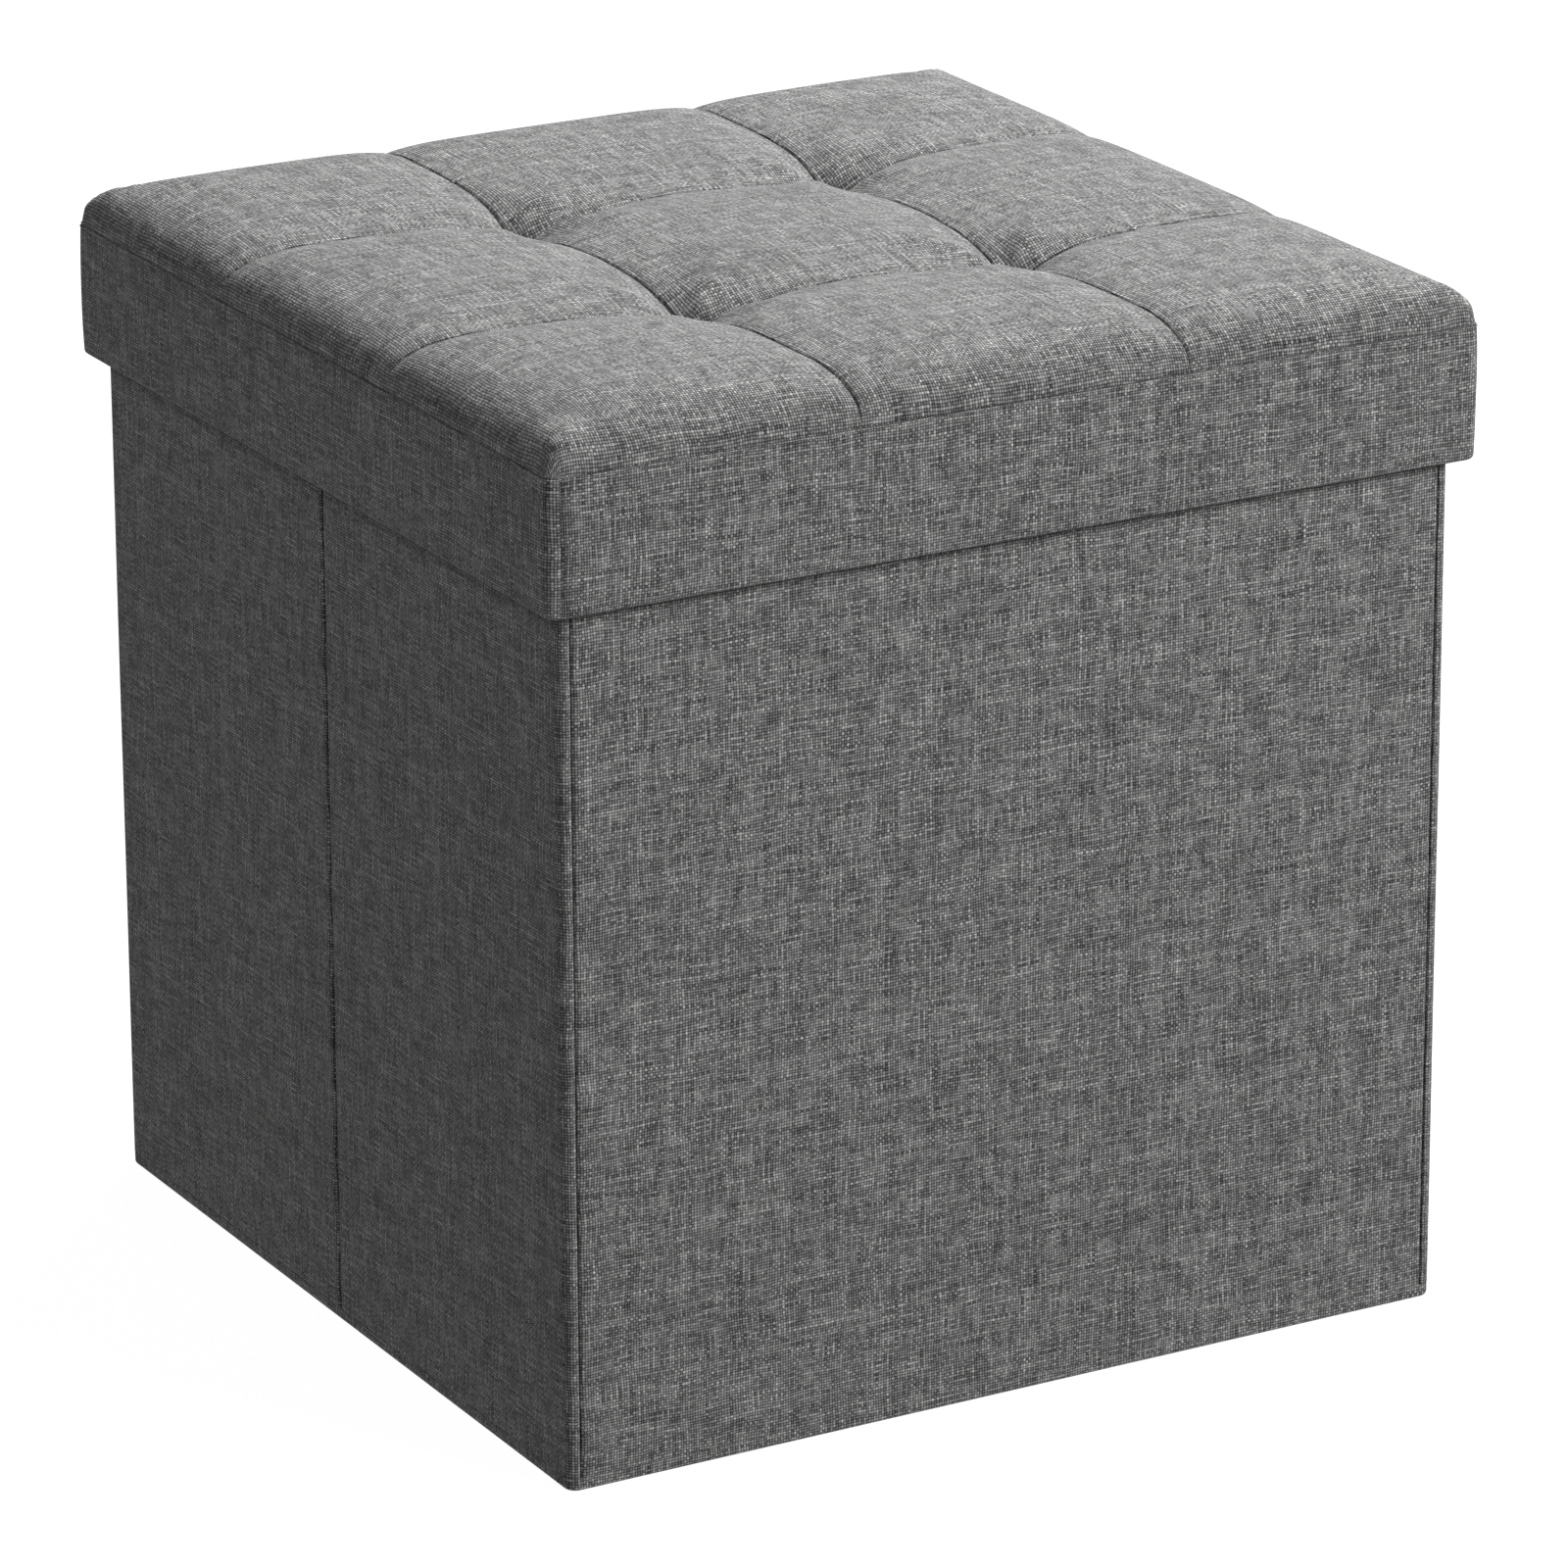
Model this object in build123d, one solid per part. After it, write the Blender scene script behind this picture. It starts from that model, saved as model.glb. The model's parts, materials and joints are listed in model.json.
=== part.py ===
from build123d import *
import os

# Folding storage ottoman, in millimetres: a box of fabric-covered board walls, a loose base board
# and a padded lid that lifts off. The sides are split in two and fold inwards, so that the front
# wall comes back flat against the rear wall.
# The origin is on the floor under the centre of the box, with +Z up and the front towards -Y.

# Box
body_width = 366.0
body_depth = 366.0
wall_top = 373.0
wall_board = 3.0
cover = 0.7
liner = 0.3
corner_slack = 1.0
crease_gap = 2.0
crease_recess = 0.3

# Floor of the box
floor_cloth = 0.5
base_board = 3.0
base_cloth = 0.3
base_clearance = 3.0
base_rest_gap = 0.1
tab_width = 22.0
tab_length = 55.0
tab_cloth = 0.4
tab_edge_distance = 14.0
sweep_clearance = 0.4
hem_gap = 0.3

# Lid
lid_clearance = 3.0
lid_overlap = 44.6
lid_rest_gap = 0.5
skirt_board = 3.0
lid_board = 4.0
lid_lining = 0.3
lid_corner_radius = 12.0
band_above_board = 0.6
foam = 20.0
top_roll_step = 0.3
tuft_depth = 16.0
tuft_floor_radius = 3.0
tuft_rim_radius = 26.0
tie_radius = 1.0
tie_knot_radius = 2.4
tie_knot = 0.7
cells = 3

# Staples that hold the lid's lining
staple_crown = 10.0
staple_width = 1.2
staple_wire = 0.5
staple_leg = 3.0
staple_inset = 17.0
staple_recess = 0.2
staples_per_side = 3

# Worked out from the sizes above
wall = cover + wall_board + liner
corner_radius = wall + corner_slack
base_low = floor_cloth + base_rest_gap
base_high = base_low + base_cloth + base_board + base_cloth
wall_low = base_high + tab_cloth + sweep_clearance
hem_high = wall_low - hem_gap
half_width = body_width / 2
half_depth = body_depth / 2
base_width = body_width - 2 * (wall + base_clearance)
base_depth = body_depth - 2 * (wall + base_clearance)

skirt = cover + skirt_board + lid_lining
lid_width = body_width + 2 * (lid_clearance + skirt)
lid_depth = body_depth + 2 * (lid_clearance + skirt)
skirt_low = wall_top - lid_overlap
lining_low = wall_top + lid_rest_gap
lid_board_low = lining_low + lid_lining
lid_board_high = lid_board_low + lid_board
band_high = lid_board_high + band_above_board
foam_high = lid_board_high + foam
lid_top = foam_high + cover
tuft_floor = lid_top - tuft_depth
cell_width = lid_width / cells
cell_depth = lid_depth / cells

SIDES = ("front", "rear", "left", "right")
ROWS = ("front", "middle", "rear")
COLUMNS = ("left", "centre", "right")


def block(low, high):
    """Box between two opposite corners."""
    size = [b - a for a, b in zip(low, high)]
    middle = [(a + b) / 2 for a, b in zip(low, high)]
    return Pos(*middle) * Box(*size)


def rounded_prism(width, depth, radius, low, high):
    """Upright prism with rounded vertical edges, centred on the origin."""
    return Pos(0, 0, low) * extrude(RectangleRounded(width, depth, radius), high - low)


def rounded_ring(width, depth, radius, thickness, low, high):
    """Wall of even thickness inside a rounded prism's outline."""
    outside = rounded_prism(width, depth, radius, low, high)
    return outside - rounded_prism(width - 2 * thickness, depth - 2 * thickness, radius - thickness, low, high)


def square_ring_sides(outline, inner_width, inner_depth, low, high):
    """Cut a prism into four strips round a rectangular hollow: front and rear run full width."""
    far = outline.bounding_box().size.X + outline.bounding_box().size.Y
    x = inner_width / 2
    y = inner_depth / 2
    return {
        "front": outline & block((-far, -far, low), (far, -y, high)),
        "rear": outline & block((-far, y, low), (far, far, high)),
        "left": outline & block((-far, -y, low), (-x, y, high)),
        "right": outline & block((x, -y, low), (far, y, high)),
    }


def mitred_sides(ring):
    """Cut a ring into its four sides, with a mitre at 45 degrees through each corner."""
    box = ring.bounding_box()
    x = lid_width / 2
    y = lid_depth / 2
    reach = min(x, y) / 2
    corners = {
        "front": ((-x, -y), (x, -y), (x - reach, reach - y), (reach - x, reach - y)),
        "rear": ((x, y), (-x, y), (reach - x, y - reach), (x - reach, y - reach)),
        "left": ((-x, y), (-x, -y), (reach - x, reach - y), (reach - x, y - reach)),
        "right": ((x, -y), (x, y), (x - reach, y - reach), (x - reach, reach - y)),
    }
    sides = {}
    for side, points in corners.items():
        quarter = make_face(Polyline(*points, close=True))
        sides[side] = ring & (Pos(0, 0, box.min.Z) * extrude(quarter, box.size.Z))
    return sides


def wall_layers(near, far, place):
    """Cover, board and liner of one wall panel that runs from near to far along the wall.

    place(along, in) gives the plan point at a distance along the wall and a depth in from its face.
    """
    def layer(depth_from, depth_to, low, high):
        a = place(near, depth_from)
        b = place(far, depth_to)
        corner_low = (min(a[0], b[0]), min(a[1], b[1]), low)
        corner_high = (max(a[0], b[0]), max(a[1], b[1]), high)
        return block(corner_low, corner_high)

    board = layer(cover, cover + wall_board, wall_low + cover, wall_top - cover)
    sleeve = layer(0, cover + wall_board, wall_low, wall_top) - board
    return {
        "cover": sleeve,
        "board": board,
        "liner": layer(cover + wall_board, wall, wall_low, wall_top),
    }


def wall_panels():
    """Six rigid panels: front and rear in one piece, each side in two halves."""
    end_x = half_width - corner_radius
    end_y = half_depth - corner_radius
    crease = crease_gap / 2
    layouts = {
        "front": (-end_x, end_x, lambda along, depth: (along, depth - half_depth)),
        "rear": (-end_x, end_x, lambda along, depth: (along, half_depth - depth)),
        "left_front": (-end_y, -crease, lambda along, depth: (depth - half_width, along)),
        "left_rear": (crease, end_y, lambda along, depth: (depth - half_width, along)),
        "right_front": (-end_y, -crease, lambda along, depth: (half_width - depth, along)),
        "right_rear": (crease, end_y, lambda along, depth: (half_width - depth, along)),
    }
    nodes = {}
    for panel, (near, far, place) in layouts.items():
        for layer, solid in wall_layers(near, far, place).items():
            nodes[f"{panel}_{layer}"] = solid
    return nodes


def corner_strips():
    """Quarter rounds of cover fabric between the panels, one at each upright corner."""
    ring = rounded_ring(body_width, body_depth, corner_radius, cover, wall_low, wall_top)
    nodes = {}
    for row, y in (("front", -half_depth), ("rear", half_depth)):
        for column, x in (("left", -half_width), ("right", half_width)):
            inner_x = x - corner_radius * (1 if x > 0 else -1)
            inner_y = y - corner_radius * (1 if y > 0 else -1)
            low = (min(x, inner_x), min(y, inner_y), wall_low)
            high = (max(x, inner_x), max(y, inner_y), wall_top)
            nodes[f"{row}_{column}_corner"] = ring & block(low, high)
    return nodes


def crease_strips():
    """Recessed strips of cover fabric on which each side folds in half."""
    outer = half_width - crease_recess
    inner = outer - cover
    half_gap = crease_gap / 2
    return {
        "left_crease": block((-outer, -half_gap, wall_low), (-inner, half_gap, wall_top)),
        "right_crease": block((inner, -half_gap, wall_low), (outer, half_gap, wall_top)),
    }


def floor_nodes():
    """Hem round the foot of the box, and the cloth floor sewn to it."""
    outline = rounded_prism(body_width, body_depth, corner_radius, 0, hem_high)
    inner_width = body_width - 2 * wall
    inner_depth = body_depth - 2 * wall
    strips = square_ring_sides(outline, inner_width, inner_depth, 0, hem_high)
    nodes = {f"{side}_hem": strips[side] for side in SIDES}
    cloth_low = (-inner_width / 2, -inner_depth / 2, 0)
    cloth_high = (inner_width / 2, inner_depth / 2, floor_cloth)
    nodes["floor_cloth"] = block(cloth_low, cloth_high)
    return nodes


def base_nodes():
    """Loose base board in its cloth, with a ribbon tab to lift it by."""
    x = base_width / 2
    y = base_depth / 2
    sheet_high = base_low + base_cloth
    bottom = block((-x, -y, base_low), (x, y, sheet_high))
    board_low = (base_cloth - x, base_cloth - y, sheet_high)
    board_high = (x - base_cloth, y - base_cloth, sheet_high + base_board)
    board = block(board_low, board_high)
    top = block((-x, -y, sheet_high), (x, y, base_high)) - board
    tab_end = tab_edge_distance - y
    tab_low = (-tab_width / 2, tab_end, base_high)
    tab_high = (tab_width / 2, tab_end + tab_length, base_high + tab_cloth)
    return {
        "base_board": board,
        "base_cloth_top": top,
        "base_cloth_bottom": bottom,
        "base_pull_tab": block(tab_low, tab_high),
    }


def staples():
    """Wire staples through the lining, in a row along each side of the lid."""
    crown_low = lining_low - staple_recess
    shapes = []
    wire = staple_wire / 2
    for side in SIDES:
        along_x = side in ("front", "rear")
        sign = -1 if side in ("front", "left") else 1
        span = lid_width if along_x else lid_depth
        edge = (lid_depth if along_x else lid_width) / 2 - skirt - staple_inset
        for number in range(staples_per_side):
            offset = span * ((number + 0.5) / staples_per_side - 0.5)
            half = staple_crown / 2
            crown = block((-half, -staple_width / 2, crown_low), (half, staple_width / 2, lid_board_low))
            leg_top = lid_board_low + staple_leg
            staple = crown
            for end in (-1, 1):
                leg_x = end * (half - wire)
                staple += block((leg_x - wire, -wire, lid_board_low), (leg_x + wire, wire, leg_top))
            place = Pos(offset, sign * edge, 0) if along_x else Pos(sign * edge, offset, 0) * Rot(0, 0, 90)
            shapes.append(place * staple)
    return Compound(shapes)


def tuft_points():
    """Plan points where the lines between cells cross inside the lid."""
    steps = range(1, cells)
    return [(cell_width * i - lid_width / 2, cell_depth * j - lid_depth / 2) for j in steps for i in steps]


def tuft_cones(floor):
    """Dimples whose floor is at the given height."""
    shapes = []
    for x, y in tuft_points():
        cone = Cone(tuft_floor_radius, tuft_rim_radius, tuft_depth)
        shapes.append(Pos(x, y, floor + tuft_depth / 2) * cone)
    return shapes


def upright(radius, low, high, x, y):
    """Upright cylinder between two heights."""
    return Pos(x, y, (low + high) / 2) * Cylinder(radius, high - low)


def padded_block(inset, low, high):
    """Rounded block whose top edge rolls over."""
    corner = lid_corner_radius - inset
    shape = rounded_prism(lid_width - 2 * inset, lid_depth - 2 * inset, corner, low, high)
    return fillet(shape.faces().sort_by(Axis.Z)[-1].edges(), corner - top_roll_step)


def pad_nodes():
    """Foam pad, the nine sewn panels of the top cover, and the ties that pull the tufts down."""
    foam_pad = padded_block(cover, lid_board_high, foam_high)
    for cone in tuft_cones(tuft_floor - cover):
        foam_pad -= cone
    skin = padded_block(0, lid_board_high, lid_top)
    for cone in tuft_cones(tuft_floor):
        skin -= cone
    skin -= foam_pad
    skin &= block((-lid_width, -lid_depth, band_high), (lid_width, lid_depth, lid_top))
    ties = []
    for x, y in tuft_points():
        tie = upright(tie_radius, lid_board_high, tuft_floor, x, y)
        foam_pad -= tie
        skin -= tie
        ties.append(tie + upright(tie_knot_radius, tuft_floor, tuft_floor + tie_knot, x, y))
    nodes = {"foam_pad": foam_pad, "tuft_ties": Compound(ties)}
    for j, row in enumerate(ROWS):
        for i, column in enumerate(COLUMNS):
            x = cell_width * i - lid_width / 2
            y = cell_depth * j - lid_depth / 2
            cell = block((x, y, lid_board_high), (x + cell_width, y + cell_depth, lid_top))
            nodes[f"top_panel_{row}_{column}"] = skin & cell
    return nodes


def lid_nodes():
    """Lid board with its skirt, the band of cover fabric round it, and the lining."""
    core_width = lid_width - 2 * cover
    core_depth = lid_depth - 2 * cover
    core_radius = lid_corner_radius - cover
    inner_width = core_width - 2 * skirt_board
    inner_depth = core_depth - 2 * skirt_board
    inner_radius = core_radius - skirt_board

    pins = staples()
    board = rounded_prism(core_width, core_depth, core_radius, lid_board_low, lid_board_high) - pins
    lining = rounded_prism(inner_width, inner_depth, inner_radius, lining_low, lid_board_low) - pins
    hollow = rounded_prism(inner_width, inner_depth, inner_radius, skirt_low, lid_board_low)
    core = rounded_prism(core_width, core_depth, core_radius, skirt_low + cover, band_high)
    sleeve = rounded_prism(lid_width, lid_depth, lid_corner_radius, skirt_low, band_high)
    bands = mitred_sides(sleeve - core - hollow)
    skirt_ring = rounded_ring(core_width, core_depth, core_radius, skirt_board, skirt_low + cover, lid_board_low)
    boards = mitred_sides(skirt_ring)
    lining_ring = rounded_ring(inner_width, inner_depth, inner_radius, lid_lining, skirt_low, lining_low)
    linings = mitred_sides(lining_ring)

    nodes = {"lid_board": board, "lid_staples": pins, "lid_lining": lining}
    for side in SIDES:
        nodes[f"skirt_board_{side}"] = boards[side]
        nodes[f"lid_band_{side}"] = bands[side]
        nodes[f"skirt_lining_{side}"] = linings[side]
    return nodes


def main():
    os.makedirs("parts", exist_ok=True)
    groups = (wall_panels, corner_strips, crease_strips, floor_nodes, base_nodes, lid_nodes, pad_nodes)
    for group in groups:
        for name, shape in group().items():
            export_step(shape, f"parts/{name}.step")


main()
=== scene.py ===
import json
import math

import bmesh
import bpy
import numpy as np
from mathutils import Matrix, Vector


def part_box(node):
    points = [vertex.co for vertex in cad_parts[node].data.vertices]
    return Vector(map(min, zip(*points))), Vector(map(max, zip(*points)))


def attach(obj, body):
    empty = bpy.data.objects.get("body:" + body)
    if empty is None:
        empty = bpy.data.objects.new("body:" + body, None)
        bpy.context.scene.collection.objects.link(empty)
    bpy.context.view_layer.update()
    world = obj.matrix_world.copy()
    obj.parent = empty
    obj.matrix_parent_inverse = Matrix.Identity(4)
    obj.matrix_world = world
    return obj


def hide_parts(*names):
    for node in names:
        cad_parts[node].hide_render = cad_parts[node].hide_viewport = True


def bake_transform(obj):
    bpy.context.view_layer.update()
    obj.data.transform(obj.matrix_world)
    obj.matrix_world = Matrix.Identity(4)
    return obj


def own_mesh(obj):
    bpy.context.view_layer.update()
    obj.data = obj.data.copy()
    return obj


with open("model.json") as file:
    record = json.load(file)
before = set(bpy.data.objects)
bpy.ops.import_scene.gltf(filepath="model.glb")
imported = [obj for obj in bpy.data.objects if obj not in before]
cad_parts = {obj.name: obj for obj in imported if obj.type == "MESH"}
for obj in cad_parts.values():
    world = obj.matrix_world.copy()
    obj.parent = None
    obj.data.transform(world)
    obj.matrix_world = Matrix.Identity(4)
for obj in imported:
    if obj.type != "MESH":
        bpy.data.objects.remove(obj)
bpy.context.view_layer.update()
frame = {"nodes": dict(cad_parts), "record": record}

# Folding storage ottoman. Everything is in metres, in the CAD model's frame: origin on the floor
# under the centre of the box, +Z up, front towards -Y.
MM = 0.001


def edge(node, axis, high):
    """Lowest or highest coordinate of a CAD node along x, y or z."""
    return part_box(node)[1 if high else 0]["xyz".index(axis)]


# Places read from the CAD model. The pad's middle cell is a little wider than the cells round it.
half_width = edge("right_hem", "x", True)
half_depth = edge("rear_hem", "y", True)
wall_low = edge("front_cover", "z", False)
wall_top = edge("front_cover", "z", True)
cover_depth = edge("front_cover", "y", True) - edge("front_cover", "y", False)
wall_depth = edge("front_liner", "y", True) - edge("front_cover", "y", False)
corner_radius = half_width - edge("front_cover", "x", True)
hem_high = edge("front_hem", "z", True)
lining_low = edge("lid_lining", "z", False)
skirt_board_low = edge("skirt_board_front", "z", False)
skirt_board_high = edge("skirt_board_front", "z", True)
skirt_board_out = edge("skirt_board_right", "x", True)
lid_half = edge("lid_band_right", "x", True)
skirt_low = edge("lid_band_front", "z", False)
skirt_inner = edge("skirt_lining_right", "x", False)
band_high = edge("lid_band_front", "z", True)
board_high = edge("lid_board", "z", True)
SEAM_SHARE = 0.352
seam_at = lid_half * SEAM_SHARE

CLOTH = 0.6 * MM
SIDES = ("front", "rear", "left", "right")


# ---------------------------------------------------------------- meshes

def place_object(name, data):
    """Object with the given data, linked into the scene."""
    obj = bpy.data.objects.new(name, data)
    bpy.context.scene.collection.objects.link(obj)
    return obj


def new_object(name, points, faces, uvs=None, smooth=True):
    """Mesh object from points and faces, with one UV point for each vertex."""
    mesh = bpy.data.meshes.new(name)
    mesh.from_pydata([tuple(p) for p in points], [], [tuple(f) for f in faces])
    if uvs is not None:
        layer = mesh.uv_layers.new(name="cloth")
        corners = np.zeros(len(mesh.loops), dtype=np.int32)
        mesh.loops.foreach_get("vertex_index", corners)
        layer.data.foreach_set("uv", np.asarray(uvs, dtype=np.float32)[corners].ravel())
    mesh.polygons.foreach_set("use_smooth", [smooth] * len(mesh.polygons))
    mesh.update()
    return place_object(name, mesh)


def grid_faces(rows, columns):
    """Quads of a grid of rows by columns points."""
    return [(i * columns + j, (i + 1) * columns + j, (i + 1) * columns + j + 1, i * columns + j + 1)
            for i in range(rows - 1) for j in range(columns - 1)]


def run_lengths(section):
    """Length along a section from its first point to each of its points."""
    return np.r_[0.0, np.cumsum(np.linalg.norm(np.diff(section, axis=0), axis=1))]


def thicken(obj, thickness):
    """Give a sheet its thickness, so that it is a closed shell."""
    bpy.context.view_layer.update()
    modifier = obj.modifiers.new("thickness", "SOLIDIFY")
    modifier.thickness = thickness
    modifier.offset = -1.0
    modifier.use_even_offset = False
    graph = bpy.context.evaluated_depsgraph_get()
    mesh = bpy.data.meshes.new_from_object(obj.evaluated_get(graph))
    obj.modifiers.clear()
    obj.data = mesh
    return obj


def spread(low, high, step, *dense):
    """Sorted stations from low to high about step apart, with closer ones round each dense place."""
    count = max(2, int(round((high - low) / step)) + 1)
    stations = list(np.linspace(low, high, count))
    for centre, offsets in dense:
        reach = max(offsets)
        stations = [s for s in stations if abs(s - centre) > reach + 0.25 * step]
        stations += [centre + o * sign for o in offsets for sign in (-1, 1)]
    inside = sorted({round(s, 7) for s in stations if low - 1e-9 <= s <= high + 1e-9} | {low, high})
    return np.array(inside)


def finish_piece(obj, slot, body=None):
    """Material slot and body of one piece."""
    obj.data.materials.clear()
    obj.data.materials.append(MATERIALS[slot])
    if body:
        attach(obj, body)
    return obj


# ---------------------------------------------------------------- materials

class Nodes:
    """Short way to wire a node material."""

    def __init__(self, name):
        self.material = bpy.data.materials.new(name)
        self.material.use_nodes = True
        self.tree = self.material.node_tree
        self.tree.nodes.clear()
        output = self.tree.nodes.new("ShaderNodeOutputMaterial")
        self.shader = self.tree.nodes.new("ShaderNodeBsdfPrincipled")
        self.link(self.shader.outputs[0], output.inputs["Surface"])

    def link(self, source, target):
        self.tree.links.new(source, target)

    def put(self, socket, value):
        if isinstance(value, bpy.types.NodeSocket):
            self.link(value, socket)
        elif value is not None:
            socket.default_value = value

    def math(self, operation, a, b=None, c=None):
        node = self.tree.nodes.new("ShaderNodeMath")
        node.operation = operation
        for socket, value in zip(node.inputs, (a, b, c)):
            self.put(socket, value)
        return node.outputs[0]

    def vector(self, x, y, z=0.0):
        node = self.tree.nodes.new("ShaderNodeCombineXYZ")
        for socket, value in zip(node.inputs, (x, y, z)):
            self.put(socket, value)
        return node.outputs[0]

    def split(self, vector):
        node = self.tree.nodes.new("ShaderNodeSeparateXYZ")
        self.link(vector, node.inputs[0])
        return node.outputs

    def coordinates(self, kind):
        return self.tree.nodes.new("ShaderNodeTexCoord").outputs[kind]

    def noise(self, vector, scale, detail=2.0, roughness=0.5, dimensions="3D"):
        node = self.tree.nodes.new("ShaderNodeTexNoise")
        node.noise_dimensions = dimensions
        self.link(vector, node.inputs["Vector"])
        node.inputs["Scale"].default_value = scale
        node.inputs["Detail"].default_value = detail
        node.inputs["Roughness"].default_value = roughness
        return node.outputs["Fac"]

    def random(self, vector):
        node = self.tree.nodes.new("ShaderNodeTexWhiteNoise")
        node.noise_dimensions = "2D"
        self.link(vector, node.inputs["Vector"])
        return node.outputs["Value"]

    def voronoi(self, vector, scale):
        node = self.tree.nodes.new("ShaderNodeTexVoronoi")
        self.link(vector, node.inputs["Vector"])
        node.inputs["Scale"].default_value = scale
        return node.outputs["Distance"]

    def mix(self, factor, a, b):
        node = self.tree.nodes.new("ShaderNodeMix")
        self.put(node.inputs["Factor"], factor)
        self.put(node.inputs["A"], a)
        self.put(node.inputs["B"], b)
        return node.outputs["Result"]

    def ramp(self, factor, *stops):
        node = self.tree.nodes.new("ShaderNodeValToRGB")
        elements = node.color_ramp.elements
        while len(elements) < len(stops):
            elements.new(0.5)
        for element, (place, colour) in zip(elements, stops):
            element.position = place
            element.color = (*colour, 1.0)
        self.link(factor, node.inputs["Fac"])
        return node.outputs["Color"]

    def bump(self, height, distance, strength=1.0):
        node = self.tree.nodes.new("ShaderNodeBump")
        node.inputs["Strength"].default_value = strength
        node.inputs["Distance"].default_value = distance
        self.link(height, node.inputs["Height"])
        self.link(node.outputs["Normal"], self.shader.inputs["Normal"])

    def set(self, **values):
        for name, value in values.items():
            self.put(self.shader.inputs[name.replace("_", " ")], value)


THREAD_PITCH = 1.08 * MM
OWN_SHARE = 0.14
SLUB_SHARE = 0.62
FLECK_SHARE = 0.24
PATCH_SHARE = 0.05
# Share of painted shade from the threads' round height: lighter crowns, darker gaps between threads.
THREAD_SHADE_SHARE = 0.66


def linen():
    """Plain weave of light and dark grey threads, uneven in thickness, with long slubs, and painted shade:
    each thread's crown lighter and the gaps between threads darker.
    """
    n = Nodes("grey_linen")
    u, v, _ = n.split(n.coordinates("UV"))
    across = n.math("DIVIDE", u, THREAD_PITCH)
    along = n.math("DIVIDE", v, THREAD_PITCH)
    wander = n.noise(n.vector(across, along), 0.05, 1.0)
    sway = n.noise(n.vector(along, across, 5.0), 0.05, 1.0)
    across = n.math("MULTIPLY_ADD", n.math("SUBTRACT", wander, 0.5), 2.0, across)
    along = n.math("MULTIPLY_ADD", n.math("SUBTRACT", sway, 0.5), 2.0, along)

    def thread(position, run):
        """Tone of one set of threads: its own shade, short flecks and long slubs."""
        number = n.math("FLOOR", position)
        own = n.math("SUBTRACT", n.random(n.vector(number, 3.7)), 0.5)
        place = n.vector(n.math("MULTIPLY", number, 7.31), n.math("MULTIPLY", run, 0.09))
        noise = n.noise(place, 1.0, 0.0, 0.5, "2D")
        slub = n.math("SUBTRACT", noise, 0.5)
        pair = n.math("FLOOR", n.math("MULTIPLY", run, 0.5))
        fleck = n.math("SUBTRACT", n.random(n.vector(number, pair)), 0.5)
        tone = n.math("MULTIPLY_ADD", own, OWN_SHARE, n.math("MULTIPLY", slub, SLUB_SHARE))
        return n.math("MULTIPLY_ADD", fleck, FLECK_SHARE, tone), n.math("SUBTRACT", position, number)

    warp, warp_place = thread(across, along)
    weft, weft_place = thread(along, across)
    total = n.math("ADD", n.math("FLOOR", across), n.math("FLOOR", along))
    over = n.math("PINGPONG", total, 1.0)
    warp_round = n.math("SINE", n.math("MULTIPLY", warp_place, math.pi))
    weft_round = n.math("SINE", n.math("MULTIPLY", weft_place, math.pi))
    high = n.mix(over, n.math("MULTIPLY", warp_round, n.math("MULTIPLY_ADD", weft_round, 0.4, 0.6)),
                 n.math("MULTIPLY", weft_round, n.math("MULTIPLY_ADD", warp_round, 0.4, 0.6)))
    tone = n.mix(over, warp, weft)
    patch = n.noise(n.vector(u, v), 30.0)
    tone = n.math("MULTIPLY_ADD", n.math("SUBTRACT", patch, 0.5), PATCH_SHARE, tone)
    # Painted shade: the threads' round height, which also drives the bump, lightens their crowns and darkens
    # the gaps between them to near black.
    tone = n.math("MULTIPLY_ADD", high, THREAD_SHADE_SHARE, tone)
    colour = n.ramp(tone, (0.02, (0.008, 0.008, 0.008)), (0.40, (0.150, 0.150, 0.149)),
                    (0.70, (0.340, 0.340, 0.336)), (1.0, (0.640, 0.640, 0.630)))
    n.set(Base_Color=colour, Roughness=0.92, Sheen_Weight=0.10, Sheen_Roughness=0.5, Specular_IOR_Level=0.2)
    n.bump(high, 0.35 * MM, 0.55)
    return n.material


def lining():
    """Black spun-bonded cloth: fused fibres with a grid of pressed dots."""
    n = Nodes("black_lining")
    place = n.coordinates("Object")
    fibres = n.noise(place, 900.0, 4.0, 0.7)
    cloud = n.noise(place, 60.0, 3.0, 0.6)
    x, y, z = n.split(place)
    pitch = 2.2 * MM
    dot = None
    for a, b in ((x, y), (y, z), (x, z)):
        p = n.math("SINE", n.math("MULTIPLY", n.math("ADD", a, b), math.pi / pitch))
        q = n.math("SINE", n.math("MULTIPLY", n.math("SUBTRACT", a, b), math.pi / pitch))
        pressed = n.math("ABSOLUTE", n.math("MULTIPLY", p, q))
        dot = pressed if dot is None else n.math("MULTIPLY", dot, pressed)
    tone = n.math("MULTIPLY_ADD", cloud, 0.5, n.math("MULTIPLY", fibres, 0.5))
    tone = n.math("MULTIPLY_ADD", dot, -0.25, tone)
    colour = n.ramp(tone, (0.25, (0.010, 0.010, 0.011)), (0.75, (0.048, 0.048, 0.050)))
    n.set(Base_Color=colour, Roughness=0.82, Sheen_Weight=0.2)
    n.bump(n.math("MULTIPLY_ADD", dot, -1.0, fibres), 0.2 * MM, 0.5)
    return n.material


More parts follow.
